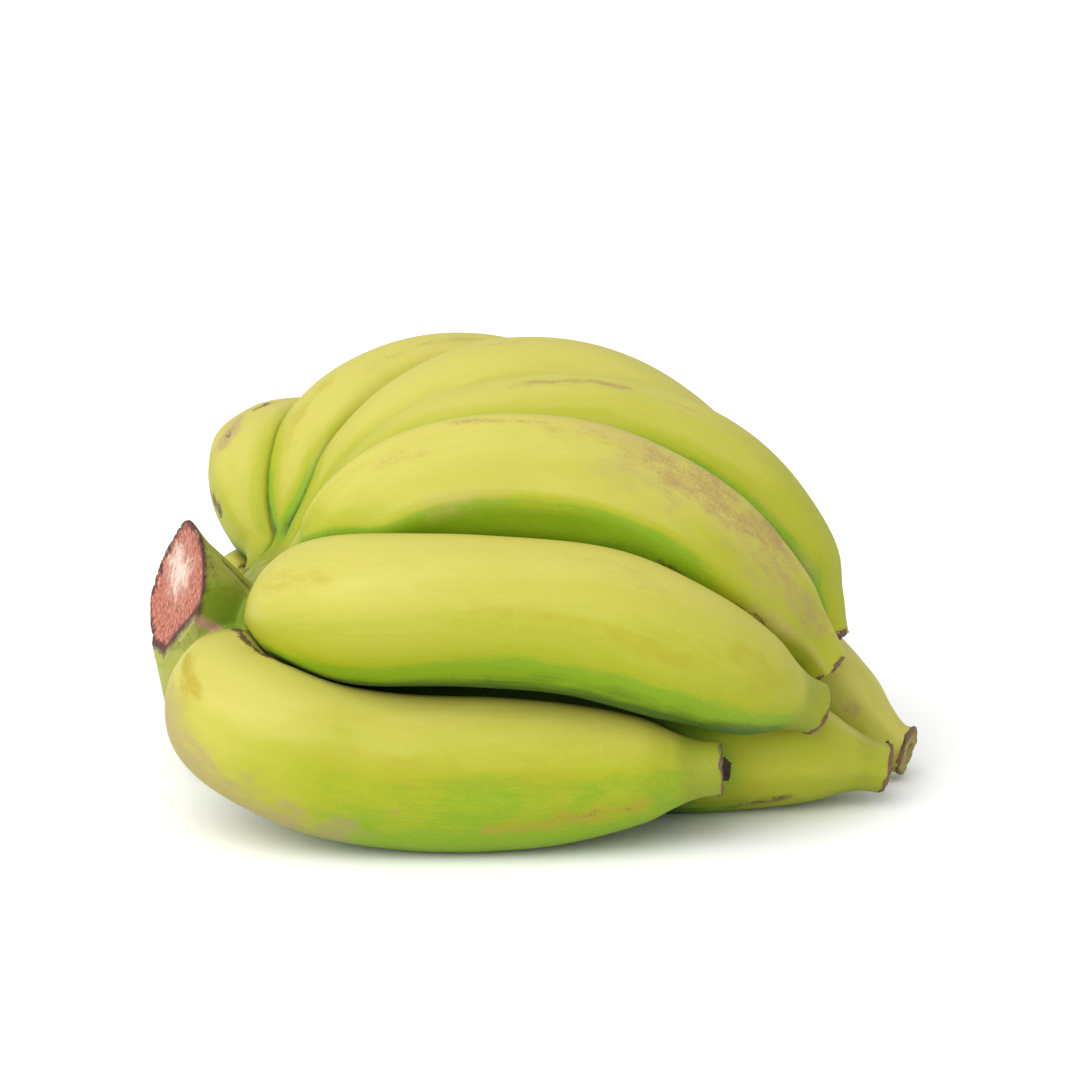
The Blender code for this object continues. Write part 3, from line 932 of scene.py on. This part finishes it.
def flank_of_crown(tree, settings, grain, patch):
    """The flank's colour: olive with paler ribs, streaky painted shade further below the cut, its
    marks, and dried brown next to the cut.
    """
    below, outside = stored(tree, "below"), stored(tree, "outside")
    rib = streaks_of(stored(tree, "face", "Vector"), 300.0, 50.0)
    near_cut = math_of("MULTIPLY_ADD", span_of(below, 0.012, 0.004), 0.35, 0.35)
    # Painted shade: darker green streaks on the flank further below the cut, towards the necks
    streaky_shade_below = times(span_of(rib, 0.52, 0.36), span_of(below, 0.008, 0.02))
    colour = blend_of(times(streaky_shade_below, 0.55), settings.flank, settings.shaded)
    colour = blend_of(times(span_of(rib, 0.42, 0.68), near_cut), colour, settings.pale)
    worn = plus(about_zero(patch, 1.1), about_zero(grain, 1.2))
    for kind, over, cover in (("shaded", settings.shaded, 0.9), ("rib", settings.pale, 0.85),
                              ("blush", settings.blush, 0.85), ("bruise", settings.bruise, 0.9)):
        weight = stored(tree, kind)
        torn = plus(times(worn, span_of(weight, 0.0, 0.3)), weight)
        colour = painted(colour, over, torn, 0.1, 0.9, cover)
    colour = painted(colour, settings.bruise, grain, 0.6, 0.72, 0.35)
    dried = plus(math_of("MAXIMUM", below, outside), about_zero(patch, 0.004))
    return painted(colour, settings.rim, dried, 0.0022, 0.0002, 0.75)


def cut_of_crown(tree, settings, fleck, patch):
    """The cut's colour: flecked fibres, cream where the pith is, dark at the rim."""
    flat = stored(tree, "face", "Vector")
    face = put(tree, "SeparateXYZ", {0: flat}).outputs
    streak = noise_of(stretched(flat, (330.0, 300.0, 250.0)), 1.0, 4.0, 0.65, 0.6)
    colour = painted(settings.cut, settings.light, fleck, 0.46, 0.66)
    across, up = (math_of("DIVIDE", math_of("SUBTRACT", face[axis], middle), half)
                  for axis, middle, half in ((0, -0.0055, 0.0095), (2, 0.0022, 0.0068)))
    off = math_of("SQRT", plus(times(across, across), times(up, up)))
    off = plus(off, plus(about_zero(streak, 3.2), about_zero(fleck, 2.2)))
    colour = painted(colour, settings.pith, off, 1.3, 0.1, 0.9)
    outer = math_of("SUBTRACT", 1.0, span_of(off, 1.4, 0.4))
    pores = times(span_of(fleck, 0.47, 0.33), math_of("MULTIPLY_ADD", outer, 0.6, 0.3))
    colour = blend_of(pores, colour, settings.pores)
    ragged = plus(stored(tree, "edge"), plus(about_zero(patch, 0.006), about_zero(fleck, 0.0045)))
    return painted(colour, settings.rim, ragged, 0.003, 0.0009, 0.95)


def crown_material(settings):
    """Olive stalk with pale ribs, and a cut of pink brown fibres with a cream middle."""
    made, tree, shader = new_material("stalk and cut")
    place = put(tree, "TexCoord").outputs["Object"]
    grain, patch = noise_of(place, 1100.0, 5.0, 0.65), noise_of(place, 230.0, 4.0, 0.6)
    fibres = stretched(stored(tree, "face", "Vector"), (1100.0, 300.0, 640.0))
    fleck = noise_of(fibres, 1.0, 3.0, 0.75)
    over = plus(stored(tree, "outside"), about_zero(patch, 0.003))
    cut = times(stored(tree, "cut"), span_of(over, 0.0003, -0.0003))
    colour = blend_of(cut, flank_of_crown(tree, settings, grain, patch),
                      cut_of_crown(tree, settings, fleck, patch))
    height = math_of("MULTIPLY_ADD", times(fleck, cut), 2.0, grain)
    rough = math_of("MULTIPLY_ADD", cut, 0.25, 0.6)
    dress(shader, colour, rough, height, 0.45, 0.0005, 0.2)
    return made


def scar_material(settings):
    """Dry, nearly black flower with a pinkish brown edge."""
    made, tree, shader = new_material("dry flower")
    place = put(tree, "TexCoord").outputs["Object"]
    grain = noise_of(place, 1400.0, 6.0, 0.7)
    worn = plus(about_zero(grain, 2.6), stored(tree, "rim"))
    colour = painted(settings.dark, settings.collar, worn, 0.25, 1.2)
    colour = painted(colour, settings.bare, plus(worn, stored(tree, "bare")), 1.2, 2.2)
    rough = math_of("MULTIPLY_ADD", grain, 0.2, 0.72)
    dress(shader, colour, rough, grain, 0.8, 0.0006, 0.5)
    return made


def floor_material(settings):
    """Plain matt floor with the faintest unevenness."""
    made, tree, shader = new_material("plain floor")
    cloud = noise_of(put(tree, "TexCoord").outputs["Object"], 3.0)
    darker = tuple(0.985 * value for value in settings.floor)
    tree.links.new(blend_of(cloud, settings.floor, darker), shader.inputs["Base Color"])
    shader.inputs["Roughness"].default_value = 0.8
    shader.inputs["Specular IOR Level"].default_value = 0.1
    return made


# Crown


def apply_modifiers(piece):
    pick(piece)
    for modifier in list(piece.modifiers):
        bpy.ops.object.modifier_apply(modifier=modifier.name)


def root_sleeve(fruit, flare):
    """The crown's own skin where one neck grows out of it, thinning out along the neck."""
    run = np.linspace(0, SLEEVE, 14)
    centre, first, second = fruit.taken_at(run, fruit.line, fruit.first, fruit.second)
    spin = np.linspace(0, math.tau, 40, endpoint=False)[None, :, None]
    body = np.interp(run, fruit.run, fruit.body)
    radius = body + flare * (1 - 1.45 * ease(run, 4, SLEEVE))
    rings = centre + radius[:, None, None] * round_route(spin, first, second)
    ends = [rings[:1] * 0 + centre[0], rings, rings[:1] * 0 + centre[-1]]
    return roll_up("sleeve", np.concatenate(ends), {})


def model_crown(settings, fruits):
    """The stub and the roots of the necks, grown together, with a rough fibrous cut."""
    deselect()
    node = frame["nodes"]["crown"]
    crown = node.copy()
    crown.data = node.data.copy()
    crown.name = crown.data.name = "stalk_crown"
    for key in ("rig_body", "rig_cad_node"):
        if key in crown:
            del crown[key]
    crown.parent = None
    bpy.context.scene.collection.objects.link(crown)
    pick(crown)
    bpy.ops.object.mode_set(mode="EDIT")
    bpy.ops.mesh.select_all(action="SELECT")
    bpy.ops.mesh.remove_doubles(threshold=1e-6)
    bpy.ops.object.mode_set(mode="OBJECT")
    sleeves = [root_sleeve(fruit, settings.flare / MM) for fruit in fruits.values()]
    pick(crown)
    for sleeve in sleeves:
        sleeve.select_set(True)
    bpy.ops.object.join()
    remesh = crown.modifiers.new("grown together", "REMESH")
    remesh.mode = "VOXEL"
    remesh.voxel_size = settings.voxel
    apply_modifiers(crown)
    point = (CUT_POINT + HAND_SHIFT) * MM
    below = (point - places_of(crown.data)) @ CUT_NORMAL
    flank = crown.vertex_groups.new(name="flank")
    for i, soft in enumerate(ease(below / MM, 0.5, 3.5)):
        flank.add([i], float(soft), "REPLACE")
    smooth = crown.modifiers.new("soft flank", "SMOOTH")
    smooth.factor, smooth.iterations, smooth.vertex_group = 0.6, 14, "flank"
    apply_modifiers(crown)
    crown.vertex_groups.clear()
    rough_cut(crown, point, CUT_NORMAL)
    bpy.ops.object.shade_smooth()
    return crown


def rough_cut(crown, point, normal):
    """Sinks the cut a little, frays its edge unevenly, and stores what colours the crown."""
    mesh = crown.data
    places = places_of(mesh)
    below = (point - places) @ normal
    on_cut = below < CUT_SKIN * MM
    flank = (below > CUT_EDGE[0] * MM) & (below < CUT_EDGE[1] * MM)
    tree = kdtree.KDTree(int(flank.sum()))
    for i in np.flatnonzero(flank):
        tree.insert(places[i], i)
    tree.balance()
    edge = np.zeros(len(places))
    for i in np.flatnonzero(on_cut):
        edge[i] = tree.find(places[i])[2]
    up = unit(np.array((0, 0, 1)) - normal[2] * normal)
    across = np.cross(up, normal)
    face = np.stack([(places - point) @ axis for axis in (across, normal, up)], 1)
    outside = np.max([((face[:, (0, 2)] / MM - start) @ np.array(away))
                      for start, away in CUT_ENDS], axis=0) * MM
    edge = np.where(on_cut, np.minimum(edge, np.maximum(-outside, 0)), 0)
    rng = np.random.default_rng(SEED)
    spot = face / MM
    uneven = 0.5 * swell(spot, rng, 2.1) + 0.35 * swell(spot, rng, 5.5) + 0.3 * swell(spot, rng, 1.2)
    inside = ease(edge / MM, 0.4, 3.0)
    sunk = SUNK * inside + 0.12 * (1 + 0.6 * uneven)
    level = places + (below - on_cut * sunk * MM)[:, None] * normal
    frayed = np.clip(uneven, 0, 1.6) * FRAY * MM * (1 - ease(edge / MM, 0.4, 2.0))
    frayed *= 1 - ease(below / MM, 0.2, 1.4)
    inward = unit(places[on_cut].mean(0) - places)
    inward -= (inward @ normal)[:, None] * normal
    places = np.where(on_cut[:, None], level, places) + frayed[:, None] * inward
    put_places(mesh, np.clip(places, *CAD_BOX))
    found = {"cut": on_cut, "edge": edge, "outside": outside, "below": np.maximum(below, 0),
             "face": face, **{kind: np.zeros(len(places)) for kind in CROWN_KINDS}}
    for kind, strength, width, *stops in CROWN_MARKS:
        stops = np.array(stops)
        for start, run in zip(stops, np.diff(stops, axis=0)):
            away = off_path(places / MM - start, run)
            weight = strength * (1 - ease(away, 0.1 * width, 1.6 * width))
            found[kind] = np.maximum(found[kind], weight)
    for name, values in found.items():
        put_values(mesh, name, values)


# Dry flower scars


def model_scar(fruit, settings):
    """A ragged dry collar on the fruit's tip, with the torn stub of the flower in it."""
    rng = np.random.default_rng(SEED + 50 + fruit.index)
    tip, ahead = fruit.centre[-1, 0], fruit.ahead[-1, 0]
    first, second = fruit.first[-1], fruit.second[-1]
    spin = np.linspace(0, math.tau, SCAR_SIDES, endpoint=False)
    circle = np.stack([np.cos(spin), np.sin(spin), 0 * spin], axis=-1)
    edge = settings.radius / MM
    left = FLOWER_LEFT.get(fruit.name, LEAST_FLOWER)
    outline = ((0, 0.2), (edge - 0.9, 0.2), (edge - 0.15, -0.6), (edge + 0.05, -0.2),
               (edge, 0.15), (edge - 0.4, 0.5), (edge - 1.2, 0.65), (edge - 2.4, 0.6),
               (2.9, 0.7), (2.4, 0.7 + 0.7 * left), (1.9, 0.7 + 1.3 * left),
               (1.2, 0.7 + 1.7 * left), (0.5, 0.7 + 1.6 * left), (0, 0.7 + 1.4 * left))
    rings, rims, bare = [], [], []
    for radius, height in outline:
        torn = swell(circle * 3 + (0, 0, height), rng, 1.9)
        ragged = radius * (1 + 0.05 * torn)
        lift = height + 0.22 * swell(circle * 4 + (0, 0, radius), rng, 2.3) * (radius > 0)
        if 0 < radius < 2.8:
            ragged = ragged * (1 + 0.2 * torn)
            lift = lift + 0.5 * left * torn
        rings.append(tip + lift[:, None] * ahead
                     + ragged[:, None] * round_route(spin[:, None], first, second))
        rims.append(1 - left * (1 - ease(radius, 1.5, edge - 0.6)))
        clean = 1 - ease(radius, edge - 0.44 - 5.6 * left, edge + 0.38 - 2.8 * left)
        bare.append(clean if left <= LEAST_FLOWER else 0.0)
    values = {kind: np.tile(np.array(found)[:, None], SCAR_SIDES)
              for kind, found in (("rim", rims), ("bare", bare))}
    return roll_up("flower_scar_" + fruit.name, np.array(rings), values)


# Operators


def check_place(piece, node):
    """Stops the script where a piece's box doesn't hold its node's box."""
    low, high = (np.array(corner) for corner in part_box(node))
    places = places_of(piece.data)
    short = max((places.min(0) - low).max(), (high - places.max(0)).max())
    if short > PLACE_LIMIT:
        raise RuntimeError(f"{piece.name} is {short / MM:.1f} mm short of its node")


class FruitRow:
    """What the two rows' operators share."""

    inner = False

    def execute(self, context):
        settings = context.scene.banana_hand.peel
        material = bpy.data.materials.get("waxy peel") or peel_material(settings)
        for name, fruit in fruits_of(settings).items():
            if name.startswith("inner") == self.inner:
                piece = model_fruit(fruit)
                finish_piece(piece, "banana_" + name, material)
                check_place(piece, "banana_" + name)
        return {"FINISHED"}


class HAND_OT_outer_row(FruitRow, bpy.types.Operator):
    """Adds the eight fruits of the outer row"""

    bl_idname = "hand.outer_row"
    bl_label = "Outer Row"


class HAND_OT_inner_row(FruitRow, bpy.types.Operator):
    """Adds the four fruits of the inner row"""

    bl_idname = "hand.inner_row"
    bl_label = "Inner Row"
    inner = True


class HAND_OT_crown(bpy.types.Operator):
    """Adds the crown with its cut and the roots of the necks"""

    bl_idname = "hand.crown"
    bl_label = "Crown"

    def execute(self, context):
        settings = context.scene.banana_hand
        crown = model_crown(settings.crown, fruits_of(settings.peel))
        finish_piece(crown, "crown", crown_material(settings.crown))
        return {"FINISHED"}


class HAND_OT_scars(bpy.types.Operator):
    """Adds a dry flower scar to each fruit's tip"""

    bl_idname = "hand.scars"
    bl_label = "Flower Scars"

    def execute(self, context):
        settings = context.scene.banana_hand
        material = scar_material(settings.scar)
        for name, fruit in fruits_of(settings.peel).items():
            finish_piece(model_scar(fruit, settings.scar), "scar_" + name, material)
        return {"FINISHED"}


class HAND_OT_stage(bpy.types.Operator):
    """Adds the floor, the lights and the camera"""

    bl_idname = "hand.stage"
    bl_label = "Stage"

    def execute(self, context):
        settings = context.scene.banana_hand.stage
        deselect()
        bpy.ops.mesh.primitive_plane_add(size=FLOOR_SIZE)
        floor = context.active_object
        floor.name = "floor"
        floor.data.materials.append(floor_material(settings))
        aim = Vector((HAND_SHIFT[0] * MM, HAND_SHIFT[1] * MM, settings.aim_height))
        back = Vector((0, -math.cos(settings.elevation), math.sin(settings.elevation)))
        bpy.ops.object.camera_add(location=aim + back * settings.distance)
        camera = context.active_object
        camera.rotation_euler = (math.pi / 2 - settings.elevation, 0, 0)
        camera.data.lens = settings.lens
        camera.data.sensor_width = SENSOR
        camera.data.clip_start, camera.data.clip_end = CLIP
        context.scene.camera = camera
        towards = Vector(settings.lamp_turn).normalized()
        bpy.ops.object.light_add(type="SUN", location=towards)
        lamp = context.active_object
        lamp.data.energy, lamp.data.angle = settings.lamp_strength, settings.lamp_spread
        lamp.rotation_euler = (-towards).to_track_quat("-Z", "Y").to_euler()
        world = bpy.data.worlds.new("white surround")
        context.scene.world = world
        world.use_nodes = True
        surround = world.node_tree.nodes["Background"]
        surround.inputs["Color"].default_value = (1, 1, 1, 1)
        surround.inputs["Strength"].default_value = settings.sky
        context.scene.view_settings.view_transform = "Standard"
        return {"FINISHED"}


class HAND_PT_panel(bpy.types.Panel):
    """Lists the hand's pieces and their settings"""

    bl_label = "Hand of Bananas"
    bl_idname = "HAND_PT_panel"
    bl_space_type = "VIEW_3D"
    bl_region_type = "UI"
    bl_category = "Fruit"

    def draw(self, context):
        settings = context.scene.banana_hand
        for operator in OPERATORS:
            self.layout.operator(operator.bl_idname)
        for group_of in (settings.peel, settings.crown, settings.scar, settings.stage):
            box = self.layout.box()
            for key in group_of.__annotations__:
                box.prop(group_of, key)


OPERATORS = (HAND_OT_outer_row, HAND_OT_inner_row, HAND_OT_crown, HAND_OT_scars, HAND_OT_stage)
CLASSES = (PeelSettings, CrownSettings, ScarSettings, StageSettings, HandSettings,
           *OPERATORS, HAND_PT_panel)


def register():
    for cls in CLASSES:
        bpy.utils.register_class(cls)
    bpy.types.Scene.banana_hand = PointerProperty(type=HandSettings)


def unregister():
    del bpy.types.Scene.banana_hand
    for cls in reversed(CLASSES):
        bpy.utils.unregister_class(cls)


def main():
    register()
    bpy.ops.hand.stage()
    bpy.ops.hand.outer_row()
    bpy.ops.hand.inner_row()
    bpy.ops.hand.crown()
    bpy.ops.hand.scars()


if __name__ == "__main__":
    main()
